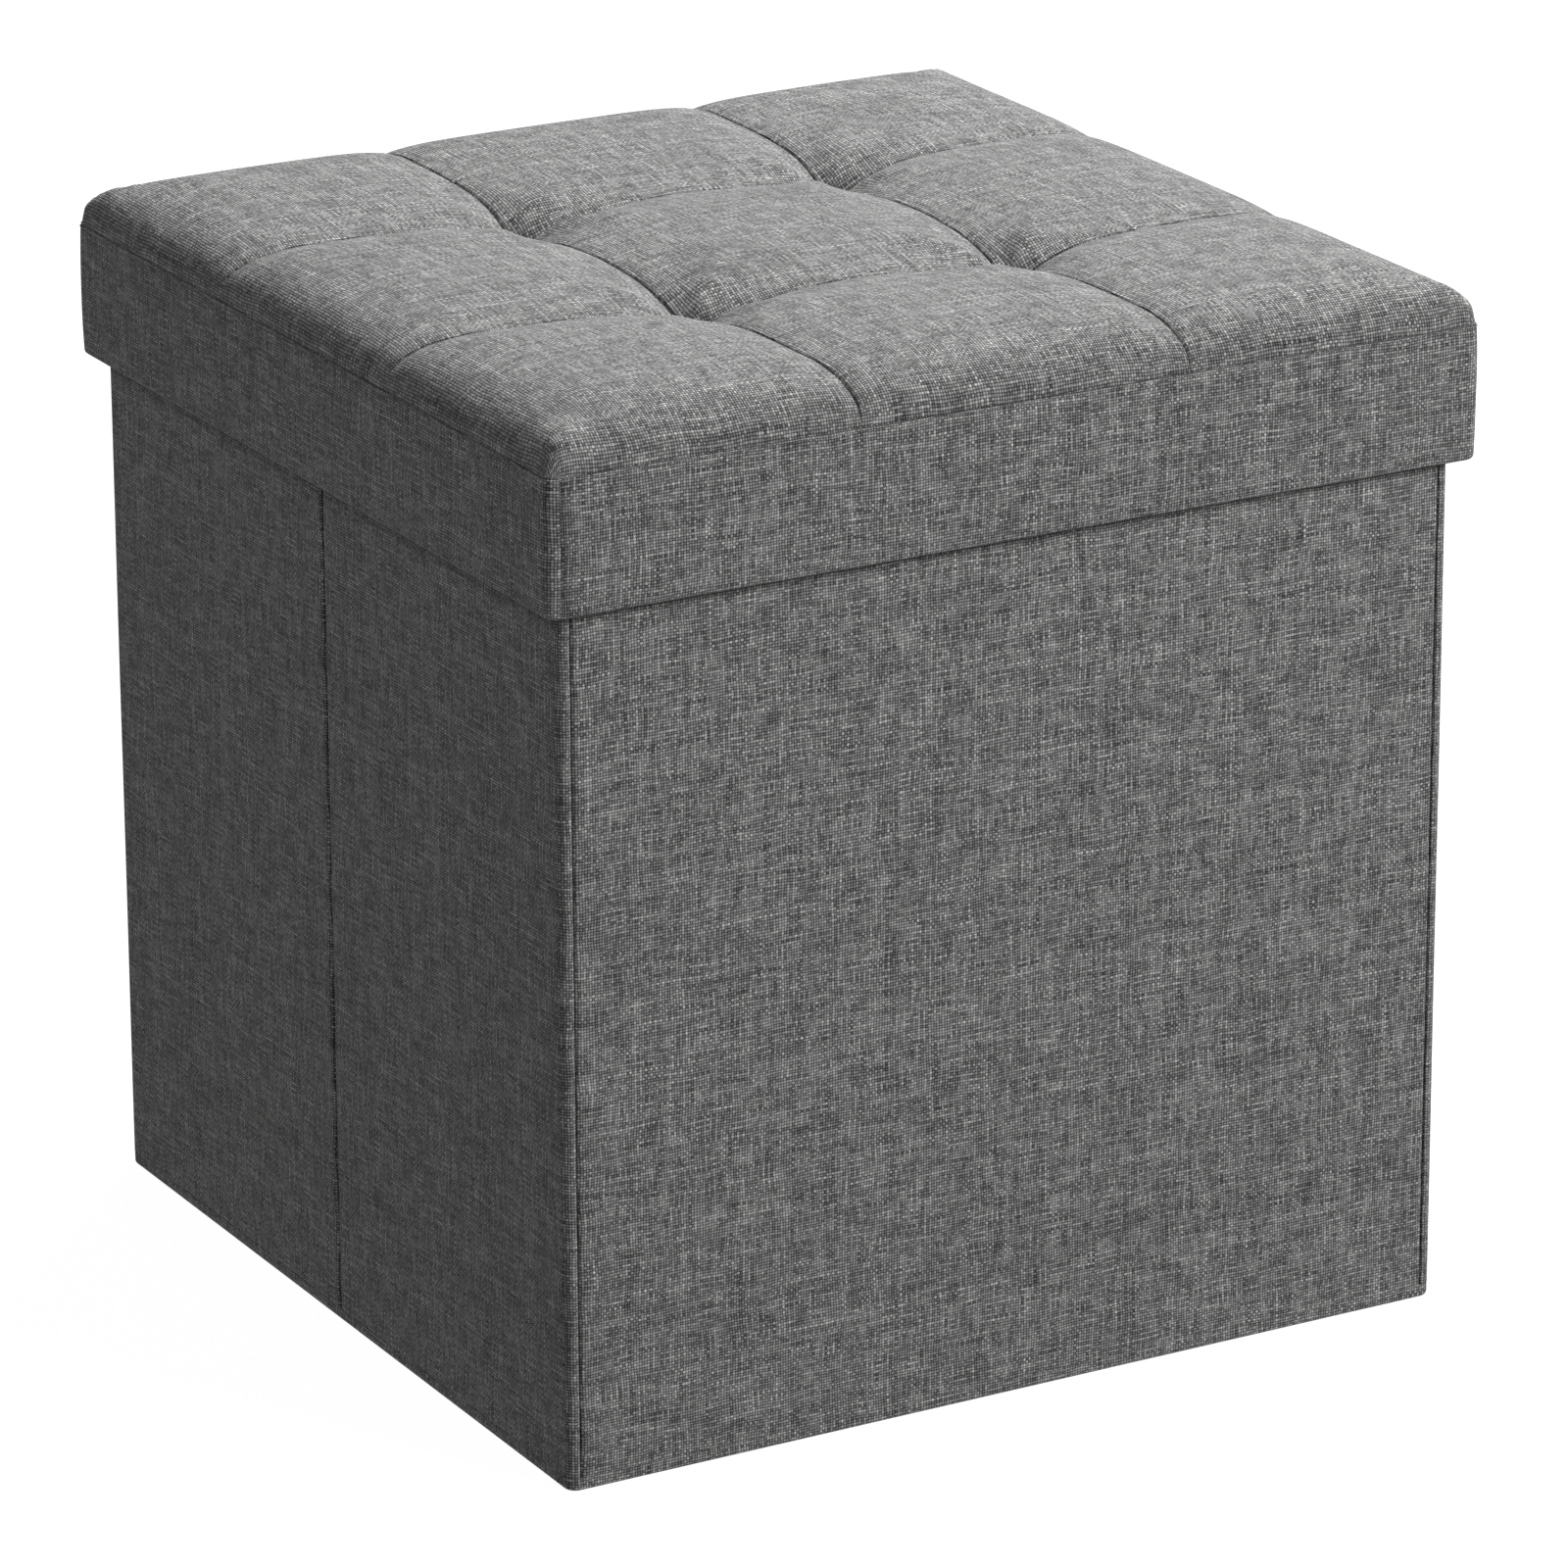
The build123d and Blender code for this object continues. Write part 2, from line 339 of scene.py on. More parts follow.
def fibreboard():
    """Raw fibreboard: fine brown fibres with darker flecks."""
    n = Nodes("raw_fibreboard")
    place = n.coordinates("Object")
    fine = n.noise(place, 1400.0, 3.0, 0.7)
    broad = n.noise(place, 45.0, 4.0, 0.6)
    fleck = n.voronoi(place, 700.0)
    tone = n.math("MULTIPLY_ADD", fine, 0.45, n.math("MULTIPLY", broad, 0.4))
    tone = n.math("MULTIPLY_ADD", fleck, 0.25, tone)
    colour = n.ramp(tone, (0.25, (0.155, 0.095, 0.050)), (0.75, (0.420, 0.290, 0.170)))
    n.set(Base_Color=colour, Roughness=0.78)
    n.bump(fine, 0.1 * MM, 0.4)
    return n.material


def foam():
    """Cream open-cell foam."""
    n = Nodes("upholstery_foam")
    place = n.coordinates("Object")
    cell = n.voronoi(place, 900.0)
    tone = n.math("MULTIPLY_ADD", n.noise(place, 50.0, 3.0), 0.5, n.math("MULTIPLY", cell, 0.6))
    colour = n.ramp(tone, (0.2, (0.46, 0.42, 0.31)), (0.8, (0.80, 0.76, 0.64)))
    n.set(Base_Color=colour, Roughness=0.95)
    n.bump(cell, 0.4 * MM, 0.8)
    return n.material


def ribbon():
    """Black ribbed ribbon."""
    n = Nodes("ribbed_ribbon")
    _, y, _ = n.split(n.coordinates("Object"))
    rib = n.math("SINE", n.math("MULTIPLY", y, 2 * math.pi / (0.9 * MM)))
    worn = n.noise(n.coordinates("Object"), 300.0, 3.0)
    tone = n.math("MULTIPLY_ADD", rib, 0.2, worn)
    colour = n.ramp(tone, (0.2, (0.012, 0.012, 0.013)), (0.9, (0.075, 0.075, 0.078)))
    n.set(Base_Color=colour, Roughness=0.48, Sheen_Weight=0.3)
    n.bump(rib, 0.15 * MM, 0.7)
    return n.material


def thread():
    """Twisted grey sewing thread."""
    n = Nodes("sewing_thread")
    x, y, z = n.split(n.coordinates("Object"))
    slant = n.math("ADD", n.math("ADD", x, y), z)
    twist = n.math("SINE", n.math("MULTIPLY", slant, 2 * math.pi / (0.7 * MM)))
    tone = n.math("MULTIPLY_ADD", twist, 0.4, 0.5)
    colour = n.ramp(tone, (0.1, (0.05, 0.05, 0.05)), (0.9, (0.20, 0.20, 0.20)))
    n.set(Base_Color=colour, Roughness=0.6)
    n.bump(twist, 0.1 * MM, 0.6)
    return n.material


def staple_wire():
    """Zinc-plated wire with fine drawing marks."""
    n = Nodes("staple_wire")
    place = n.coordinates("Object")
    marks = n.noise(place, 2500.0)
    colour = n.ramp(marks, (0.3, (0.42, 0.42, 0.43)), (0.7, (0.68, 0.68, 0.69)))
    n.set(Base_Color=colour, Metallic=1.0, Roughness=n.math("MULTIPLY_ADD", marks, 0.25, 0.2))
    n.bump(marks, 0.02 * MM, 0.4)
    return n.material


MATERIALS = {
    "linen_cover": linen(),
    "black_lining": lining(),
    "fibreboard": fibreboard(),
    "foam": foam(),
    "ribbon": ribbon(),
    "thread": thread(),
    "staple_wire": staple_wire(),
}


def paint_cad_nodes():
    """Every CAD node that stays visible takes the material of its own slot."""
    slots = {part["node"]: part["material_slot"] for part in frame["record"]["subparts"]}
    for name, obj in frame["nodes"].items():
        material = MATERIALS[slots[name]]
        if obj.data.materials:
            for slot in obj.material_slots:
                slot.material = material
        else:
            obj.data.materials.append(material)


# ---------------------------------------------------------------- box walls

def sleeve_profile():
    """Section of a wall's cover as (depth in from the face, height): over the board, down and under."""
    top_roll = 1.7 * MM
    foot_roll = 0.35 * MM
    points = [(cover_depth, wall_top - 0.1 * MM), (0.5 * (cover_depth + top_roll), wall_top)]
    for k in range(6):
        angle = math.pi / 2 * k / 5
        points.append((top_roll * (1 - math.sin(angle)), wall_top - top_roll * (1 - math.cos(angle))))
    heights = spread(wall_low + foot_roll, wall_top - top_roll, 12 * MM)[::-1]
    points += [(0.0, z) for z in heights[1:-1]]
    for k in range(5):
        angle = math.pi / 2 * k / 4
        points.append((foot_roll * (1 - math.cos(angle)), wall_low + foot_roll * (1 - math.sin(angle))))
    points.append((cover_depth, wall_low))
    return np.array(points)


def swept_sleeve(name, stations, normals, sinks, lengths):
    """Sweep a wall's section along plan points: each has its inward normal, how deep it sinks and its run."""
    profile = sleeve_profile()
    steps = run_lengths(profile)
    points, uvs = [], []
    for place, normal, sink, run in zip(stations, normals, sinks, lengths):
        for (depth, height), down in zip(profile, steps):
            face = max(0.0, 1.0 - depth / (1.2 * MM))
            rise = wall_swell(run, height) * face
            inward = depth + sink * (0.35 + 0.65 * face) - rise
            points.append((place[0] + normal[0] * inward, place[1] + normal[1] * inward, height))
            uvs.append((run, -down))
    obj = new_object(name, points, grid_faces(len(stations), len(profile)), uvs)
    return thicken(obj, CLOTH)


def end_roll(distance, reach, depth):
    """How far cloth has turned in at a distance from its end."""
    if distance >= reach:
        return 0.0
    return depth * (1 - math.sqrt(max(0.0, 1 - (1 - distance / reach) ** 2)))


def wall_swell(run, height):
    """Slight unevenness of cloth over a board."""
    wave = math.sin(run * 31.0 + height * 9.0) * math.sin(height * 23.0 - run * 7.0)
    return 0.12 * MM * wave


WALL_STEP = 9 * MM
CORNER_STEPS = 14
SEAM_REACH = 2.6 * MM
SEAM_DEPTH = 1.5 * MM
SEAM_GAP = 0.12 * MM
CREASE_REACH = 2.0 * MM
CREASE_DEPTH = 1.7 * MM
CREASE_GAP = 0.66 * MM
BOARD_INSET = 2.4 * MM
BOARD_EDGE = 0.7 * MM
FOLD_SLACK = 0.3 * MM
END_STEPS = tuple(s * MM for s in (0.0, 0.08, 0.25, 0.5, 0.9, 1.4, 2.0, 2.6))


def broad_wall(name, y_sign):
    """Front or rear cover: one flat panel whose upright edges turn in at the corner seams."""
    end = half_width - corner_radius - SEAM_GAP
    xs = spread(-end, end, WALL_STEP, (-end, END_STEPS), (end, END_STEPS))
    stations = [(x, y_sign * half_depth) for x in xs]
    normals = [(0.0, -y_sign)] * len(xs)
    sinks = [end_roll(end - abs(x), SEAM_REACH, SEAM_DEPTH) for x in xs]
    order = slice(None) if y_sign > 0 else slice(None, None, -1)
    return swept_sleeve(name, stations[order], normals, sinks[order], list(xs)[order])


def half_wall_path(x_sign, y_sign, with_corner):
    """Plan path of a side's half cover from its corner seam to the crease."""
    stations, normals, sinks, runs = [], [], [], []
    radius = corner_radius
    centre = (x_sign * (half_width - radius), y_sign * (half_depth - radius))
    run = 0.0
    if with_corner:
        lead = SEAM_GAP / radius
        for k in range(CORNER_STEPS + 1):
            angle = lead + (math.pi / 2 - lead) * (k / CORNER_STEPS) ** 1.35
            out = (x_sign * math.sin(angle), y_sign * math.cos(angle))
            stations.append((centre[0] + out[0] * radius, centre[1] + out[1] * radius))
            normals.append((-out[0], -out[1]))
            run = angle * radius
            sinks.append(end_roll((angle - lead) * radius, SEAM_REACH, SEAM_DEPTH))
            runs.append(run - math.pi / 2 * radius)
    length = half_depth - radius - CREASE_GAP
    steps = spread(0.0, length, WALL_STEP, (length, END_STEPS))
    for step in steps[1 if with_corner else 0:]:
        stations.append((x_sign * half_width, y_sign * (half_depth - radius - step)))
        normals.append((-x_sign, 0.0))
        sinks.append(end_roll(length - step, CREASE_REACH, CREASE_DEPTH))
        runs.append(step)
    return stations, normals, sinks, runs


def half_wall(name, x_sign, y_sign, with_corner=True, with_face=True):
    """Cover of half a side, which turns the corner in one cloth. At the open corner they are two pieces."""
    count = None if with_face else CORNER_STEPS + 1
    order = 1 if x_sign * y_sign > 0 else -1
    path = [part[:count][::order] for part in half_wall_path(x_sign, y_sign, with_corner)]
    path[3] = [half_width + half_depth + run for run in path[3]]
    return swept_sleeve(name, *path)


def crease_cloth(name, x_sign):
    """Narrow strip of cover cloth behind the crease of one side, along the rear half's edge."""
    depth = 1.9 * MM
    width = 2.2 * MM
    ys = np.linspace(0.0, width, 6)
    profile = [(x_sign * (half_width - depth), z) for z in np.linspace(wall_low, wall_top - 1.0 * MM, 30)]
    points = [(x, y, z) for y in ys for x, z in profile]
    uvs = [(y, z) for y in ys for x, z in profile]
    order = points if x_sign > 0 else points[::-1]
    obj = new_object(name, order, grid_faces(len(ys), len(profile)), uvs if x_sign > 0 else uvs[::-1])
    return thicken(obj, CLOTH)


def hem_cloth(name, side):
    """Folded hem along the foot of one wall, flush with the cover above it."""
    foot_roll = 1.6 * MM
    lap = 0.12 * MM
    top = wall_low - 0.02 * MM
    section = [(0.5 * MM, top), (lap, top - 0.03 * MM), (0.0, top - 0.15 * MM)]
    section += [(0.0, z) for z in (3.2 * MM, 2.2 * MM)]
    for k in range(6):
        angle = math.pi / 2 * k / 5
        section.append((foot_roll * (1 - math.cos(angle)), foot_roll * (1 - math.sin(angle))))
    section += [(wall_depth - 0.6 * MM, 0.0), (wall_depth, 0.5 * MM), (wall_depth, hem_high - 0.4 * MM),
                (wall_depth - 0.6 * MM, hem_high)]
    section = np.array(section)
    along_x = side in ("front", "rear")
    sign = -1 if side in ("front", "left") else 1
    stations, normals, runs = [], [], []
    if along_x:
        radius = corner_radius
        end = half_width - radius

        def turn(which, angle):
            """One station round the hem's left (-1) or right (1) corner."""
            x, y = end + radius * math.sin(angle), half_depth - radius + radius * math.cos(angle)
            stations.append((which * x, sign * y))
            normals.append((-which * math.sin(angle), -sign * math.cos(angle)))
            runs.append(which * (end + radius * angle))

        angles = [math.pi / 2 * k / 8 for k in range(9)]
        for angle in reversed(angles):
            turn(-1, angle)
        for x in spread(-end, end, 12 * MM)[1:-1]:
            stations.append((x, sign * half_depth))
            normals.append((0.0, -sign))
            runs.append(x)
        for angle in angles:
            turn(1, angle)
    else:
        end = half_depth - corner_radius
        for y in spread(-end, end, 12 * MM):
            stations.append((sign * half_width, y))
            normals.append((-sign, 0.0))
            runs.append(y)
    flip = (along_x and sign < 0) or (not along_x and sign > 0)
    order = slice(None, None, -1) if flip else slice(None)
    steps = run_lengths(section)
    points, uvs = [], []
    for place, normal, run in zip(stations[order], normals[order], runs[order]):
        for (depth, height), down in zip(section, steps):
            points.append((place[0] + normal[0] * depth, place[1] + normal[1] * depth, height))
            uvs.append((run, -down - wall_top))
    rows, columns = len(stations), len(section)
    faces = []
    for i in range(rows - 1):
        for j in range(columns):
            k = (j + 1) % columns
            faces.append((i * columns + j, (i + 1) * columns + j, (i + 1) * columns + k, i * columns + k))
    faces.append(tuple(range(columns)))
    faces.append(tuple((rows - 1) * columns + j for j in reversed(range(columns))))
    obj = new_object(name, points, faces, uvs)
    for polygon in obj.data.polygons[-2:]:
        polygon.use_smooth = False
    return obj


def board_slab(name, low, high, body):
    """Fibreboard slab with eased edges."""
    size = high - low
    mesh = bpy.data.meshes.new(name)
    shape = bmesh.new()
    bmesh.ops.create_cube(shape, size=1.0)
    bmesh.ops.scale(shape, vec=size, verts=shape.verts)
    bmesh.ops.translate(shape, vec=(low + high) / 2, verts=shape.verts)
    bmesh.ops.bevel(shape, geom=shape.edges[:], offset=BOARD_EDGE, segments=3, profile=0.6, affect="EDGES")
    shape.to_mesh(mesh)
    shape.free()
    return finish_piece(place_object(name, mesh), "fibreboard", body)


def make_boards():
    """Boards of the six panels, a little shorter than their covers so that the cloth can turn in."""
    for panel in ("front", "rear", "left_front", "left_rear", "right_front", "right_rear"):
        low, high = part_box(f"{panel}_board")
        along = Vector((1, 0, 0)) if panel in ("front", "rear") else Vector((0, 1, 0))
        inset = along * BOARD_INSET
        slab = board_slab(f"{panel}_wall_board", low + inset, high - inset, f"{panel}_wall")
        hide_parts(f"{panel}_board")


def make_walls():
    """Covers of the six panels and their corners, and the creases."""
    front = finish_piece(broad_wall("front_cover_cloth", -1), "linen_cover", "front_wall")
    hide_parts("front_cover")
    rear = finish_piece(broad_wall("rear_cover_cloth", 1), "linen_cover", "rear_wall")
    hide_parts("rear_cover")

    for name, x_sign, y_sign, broad, body in (
            ("left_front", -1, -1, "front_wall", "left_front_wall"),
            ("left_rear", -1, 1, "rear_wall", "left_rear_wall"),
            ("right_rear", 1, 1, "rear_wall", "right_rear_wall")):
        piece = finish_piece(half_wall(f"{name}_cover_cloth", x_sign, y_sign), "linen_cover")
        row = "front" if y_sign < 0 else "rear"
        column = "left" if x_sign < 0 else "right"
        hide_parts(f"{name}_cover", f"{row}_{column}_corner")
        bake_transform(piece)

    piece = half_wall("right_front_cover_cloth", 1, -1, with_corner=False)
    finish_piece(piece, "linen_cover", "right_front_wall")
    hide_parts("right_front_cover")
    piece = half_wall("front_right_corner_cloth", 1, -1, with_face=False)
    finish_piece(piece, "linen_cover", "front_wall")
    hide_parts("front_right_corner")

    for side, x_sign in (("left", -1), ("right", 1)):
        strip = crease_cloth(f"{side}_crease_cloth", x_sign)
        finish_piece(strip, "linen_cover", f"{side}_rear_wall")
        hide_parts(f"{side}_crease")


def make_hems():
    """Hems of the four walls, carried by the rear wall, and the share of the box's depth that is left when it
    is folded.
    """
    folded_depth = 4 * wall_depth + 3 * FOLD_SLACK
    keep = folded_depth / (2 * half_depth)
    for side in SIDES:
        piece = hem_cloth(f"{side}_hem_cloth", side)
        finish_piece(piece, "linen_cover", "rear_wall")
        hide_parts(f"{side}_hem")
        if side != "rear":
            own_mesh(piece)
    return keep


# ---------------------------------------------------------------- lid

PAD_STEPS = 32
ROLL_STEPS = 10
STEP = 2 * seam_at / PAD_STEPS
FLAT_STEPS = 22
FIRST_SEAM = FLAT_STEPS + ROLL_STEPS
ROLL_REACH = 39.6 * MM
SEAM_HEIGHT = board_high + 1.5 * MM
TUFT_LOW = 379.4 * MM
INNER_RISE = 14.4 * MM
OUTER_RISE = 15.8 * MM
INNER_SPREAD = 21.0 * MM
OUTER_SPREAD = 17.0 * MM
CROSS_SPREAD = 12.0 * MM
TUFT_POWER = 1.15
CELL_RISE = 3.4 * MM
CELL_SPREAD = 10.0 * MM
OUTLINE_RADIUS = 5.0 * MM
ROLL_POWER = 2.35
CORNER_POWER = 24.0
EDGE_TUCK = 0.15 * MM
CROWN_LIMIT = 6.0 * MM
PAD_PRESSURE = 9.0
PAD_FRAMES = 16
SEAM_LINES = (-seam_at, seam_at)


def rounded_plan(x, y, half, radius):
    """Map a point of a square onto the same square with rounded corners."""
    inner = half - radius
    a = (abs(x) - inner) / radius
    b = (abs(y) - inner) / radius
    if a <= 0 or b <= 0:
        return x, y
    c = a * math.sqrt(1 - b * b / 2)
    d = b * math.sqrt(1 - a * a / 2)
    return math.copysign(inner + c * radius, x), math.copysign(inner + d * radius, y)


def roll_share(x, y=0.0):
    """Height of the rolled edge at a place on the lid, as a share of the pad's height."""
    back_x, back_y = (max(0.0, 1 - max(0.0, lid_half - abs(place)) / ROLL_REACH) for place in (x, y))
    back = min(1.0, (back_x ** CORNER_POWER + back_y ** CORNER_POWER) ** (1 / CORNER_POWER))
    return (1 - back ** ROLL_POWER) ** (1 / ROLL_POWER)


def tuft_height(x, y):
    """Height of the pad round its tufts: deepest along the seams that join two tufts."""
    dx = abs(x) - seam_at
    dy = abs(y) - seam_at
    long, short = max(abs(dx), abs(dy)), min(abs(dx), abs(dy))
    turn = short / long if long > 0 else 0.0
    turn = turn * turn * (3 - 2 * turn)
    inner = (dx if abs(dx) > abs(dy) else dy) < 0
    spread_here = (INNER_SPREAD if inner else OUTER_SPREAD) * (1 - turn) + CROSS_SPREAD * turn
    rise = (INNER_RISE if inner else OUTER_RISE) * (1 - turn) + OUTER_RISE * turn
    return TUFT_LOW + rise * (1 - math.exp(-(math.hypot(dx, dy) / spread_here) ** TUFT_POWER))


def pad_height(x, y):
    """Height of the pad before it swells: rolled edges, tuft dimples and a low crown in each cell."""
    near_x = min(abs(x - s) for s in SEAM_LINES)
    near_y = min(abs(y - s) for s in SEAM_LINES)
    crown = CELL_RISE * (1 - math.exp(-near_x / CELL_SPREAD)) * (1 - math.exp(-near_y / CELL_SPREAD))
    high = tuft_height(x, y) + crown
    return SEAM_HEIGHT + (high - SEAM_HEIGHT) * roll_share(x, y)


def pad_line():
    """Places of the pad's grid across the lid, closer down the rolled edges, and the cloth's length there."""
    flat = [k * STEP for k in range(PAD_STEPS // 2)]
    flat += list(np.linspace(seam_at, lid_half - ROLL_REACH, FLAT_STEPS + 1))
    angles = [math.pi / 2 * (1 - k / ROLL_STEPS) for k in range(1, ROLL_STEPS + 1)]
    rolled = [lid_half - ROLL_REACH * (1 - math.cos(a)) for a in angles]
    half = np.array(flat + rolled)
    heights = np.array([OUTER_RISE * roll_share(x) for x in half])
    lengths = np.r_[0.0, np.cumsum(np.hypot(np.diff(half), np.diff(heights)))]
    return np.r_[-half[:0:-1], half], np.r_[-lengths[:0:-1], lengths]


def pad_grid(line):
    """Points of the pad's cover by row and column."""
    scale = 1 - EDGE_TUCK / lid_half
    grid = np.zeros((len(line), len(line), 3))
    for i, y in enumerate(line):
        for j, x in enumerate(line):
            px, py = rounded_plan(x, y, lid_half, OUTLINE_RADIUS)
            grid[i, j] = (px * scale, py * scale, pad_height(x, y))
    return grid


def swell_pad(grid):
    """Inflate the cover between its seams with a cloth simulation."""
    count = len(grid)
    faces = square_grid_faces(count)
    obj = new_object("swelling_cover", grid.reshape(-1, 3), faces)
    pinned = obj.vertex_groups.new(name="seams")
    seams = {0, FIRST_SEAM, FIRST_SEAM + PAD_STEPS, count - 1}
    held = [i * count + j for i in range(count) for j in range(count) if i in seams or j in seams]
    pinned.add(held, 1.0, "REPLACE")
    cloth = obj.modifiers.new("swell", "CLOTH")
    settings = cloth.settings
    settings.quality = 6
    settings.mass = 0.25
    settings.tension_stiffness = 18
    settings.compression_stiffness = 18
    settings.shear_stiffness = 6
    settings.bending_stiffness = 0.4
    settings.tension_damping = 15
    settings.compression_damping = 15
    settings.air_damping = 2
    settings.vertex_group_mass = "seams"
    settings.use_pressure = True
    settings.uniform_pressure_force = PAD_PRESSURE
    settings.effector_weights.gravity = 0
    cloth.collision_settings.use_collision = False
    scene = bpy.context.scene
    for number in range(1, PAD_FRAMES + 1):
        scene.frame_set(number)
    graph = bpy.context.evaluated_depsgraph_get()
    mesh = obj.evaluated_get(graph).to_mesh()
    swollen = np.zeros(len(mesh.vertices) * 3)
    mesh.vertices.foreach_get("co", swollen)
    swollen = swollen.reshape(grid.shape)
    bpy.data.objects.remove(obj)
    scene.frame_set(1)
    moved = swollen - grid
    reach = np.linalg.norm(moved, axis=2, keepdims=True)
    return grid + moved * np.minimum(1.0, CROWN_LIMIT / np.maximum(reach, 1e-9))


def smooth_weights(count, stations):
    """Weights that read a row of points at any station, in steps, along a smooth curve through them."""
    weights = np.zeros((len(stations), count))
    for row, station in enumerate(stations):
        k = min(int(station), count - 2)
        t = station - k
        cubic = (-0.5 * t + t * t - 0.5 * t ** 3, 1 - 2.5 * t * t + 1.5 * t ** 3,
                 0.5 * t + 2 * t * t - 1.5 * t ** 3, -0.5 * t * t + 0.5 * t ** 3)
        for offset, weight in zip((-1, 0, 1, 2), cubic):
            place = k + offset
            if place < 0:
                weights[row, 0] += 2 * weight
                weights[row, 1] -= weight
            elif place > count - 1:
                weights[row, count - 1] += 2 * weight
                weights[row, count - 2] -= weight
            else:
                weights[row, place] += weight
    return weights


def grid_normals(grid):
    """Unit normals of a grid of points, pointing up."""
    along = np.gradient(grid, axis=1)
    across = np.gradient(grid, axis=0)
    normals = np.cross(along, across)
    return normals / np.maximum(np.linalg.norm(normals, axis=2, keepdims=True), 1e-12)


def seam_relief(distance):
    """Groove where two panels of the top are sewn together, with a raised lip on each side."""
    return (-1.4 * MM * math.exp(-(distance / (0.5 * MM)) ** 2)
            + 0.5 * MM * math.exp(-((distance - 1.3 * MM) / (0.6 * MM)) ** 2))


SEAM_STEPS = tuple(s * MM / STEP for s in (0.0, 0.28, 0.55, 0.9, 1.3, 1.9, 2.8))
PAD_FINE = 0.62


def grid_rim(count):
    """Row and column of the points round a grid, in order."""
    return ([(0, j) for j in range(count)] + [(i, count - 1) for i in range(1, count)]
            + [(count - 1, j) for j in range(count - 2, -1, -1)] + [(i, 0) for i in range(count - 2, 0, -1)])


def square_grid_faces(count):
    """Quads of a square grid of points, facing up."""
    return [(i * count + j, i * count + j + 1, (i + 1) * count + j + 1, (i + 1) * count + j)
            for i in range(count - 1) for j in range(count - 1)]


def make_pad():
    """Top cover, one swollen cloth with its sewn grid, and the foam under it."""
    line, lengths = pad_line()
    grid = pad_grid(line)
    grid = swell_pad(grid)
    seam_steps = [FIRST_SEAM, FIRST_SEAM + PAD_STEPS]
    stations = spread(0.0, len(line) - 1.0, PAD_FINE, *[(s, SEAM_STEPS) for s in seam_steps])
    weights = smooth_weights(len(line), stations)
    fine = np.einsum("ia,abk,jb->ijk", weights, grid, weights)
    runs = np.interp(stations, range(len(line)), lengths)
    normals = grid_normals(fine)
    to_seam = [min(abs(s - k) for k in seam_steps) * STEP for s in stations]
    to_edge = [min(s, len(line) - 1 - s) * STEP for s in stations]
    for i in range(len(stations)):
        for j in range(len(stations)):
            relief = min(seam_relief(to_seam[i]), seam_relief(to_seam[j]))
            fine[i, j] += normals[i, j] * relief * min(1.0, min(to_edge[i], to_edge[j]) / (3 * MM))
    count = len(stations)
    points = list(fine.reshape(-1, 3))
    uvs = [(x, y) for y in runs for x in runs]
    faces = square_grid_faces(count)
    rim = grid_rim(count)
    ring = [i * count + j for i, j in rim]
    for inward, down in ((0.35 * MM, 0.25 * MM), (1.0 * MM, 0.45 * MM), (2.5 * MM, 0.45 * MM)):
        start = len(points)
        for i, j in rim:
            p = fine[i, j]
            scale = 1 - inward / lid_half
            points.append((p[0] * scale, p[1] * scale, p[2] - down))
            uvs.append((runs[j], runs[i]))
        fresh = list(range(start, start + len(rim)))
        for k in range(len(rim)):
            m = (k + 1) % len(rim)
            faces.append((ring[m], ring[k], fresh[k], fresh[m]))
        ring = fresh
    cover = thicken(new_object("tufted_top_cover", points, faces, uvs), CLOTH)
    finish_piece(cover, "linen_cover", "lid")
    rows = ("front", "middle", "rear")
    columns = ("left", "centre", "right")
    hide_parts(*[f"top_panel_{r}_{c}" for r in rows for c in columns])
    make_foam(grid)
    make_ties(grid)


def make_foam(grid):
    """Foam that fills the cover, flat on the lid board."""
    count = len(grid)
    top = grid - grid_normals(grid) * 2.4 * MM
    top[:, :, :2] *= 1 - 1.0 * MM / lid_half
    top[:, :, 2] = np.maximum(top[:, :, 2], board_high + 0.6 * MM)
    bottom = top.copy()
    bottom[:, :, 2] = board_high
    points = np.concatenate([top.reshape(-1, 3), bottom.reshape(-1, 3)])
    offset = count * count
    faces = square_grid_faces(count)
    faces += [tuple(offset + k for k in reversed(face)) for face in faces]
    ring = [i * count + j for i, j in grid_rim(count)]
    for k, here in enumerate(ring):
        after = ring[(k + 1) % len(ring)]
        faces.append((after, here, offset + here, offset + after))
    foam_piece = new_object("foam_filling", points, faces)
    finish_piece(foam_piece, "foam", "lid")
    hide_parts("foam_pad")


TIE_RADIUS = 0.8 * MM
KNOT_RADIUS = 2.0 * MM
KNOT_TURNS = 3


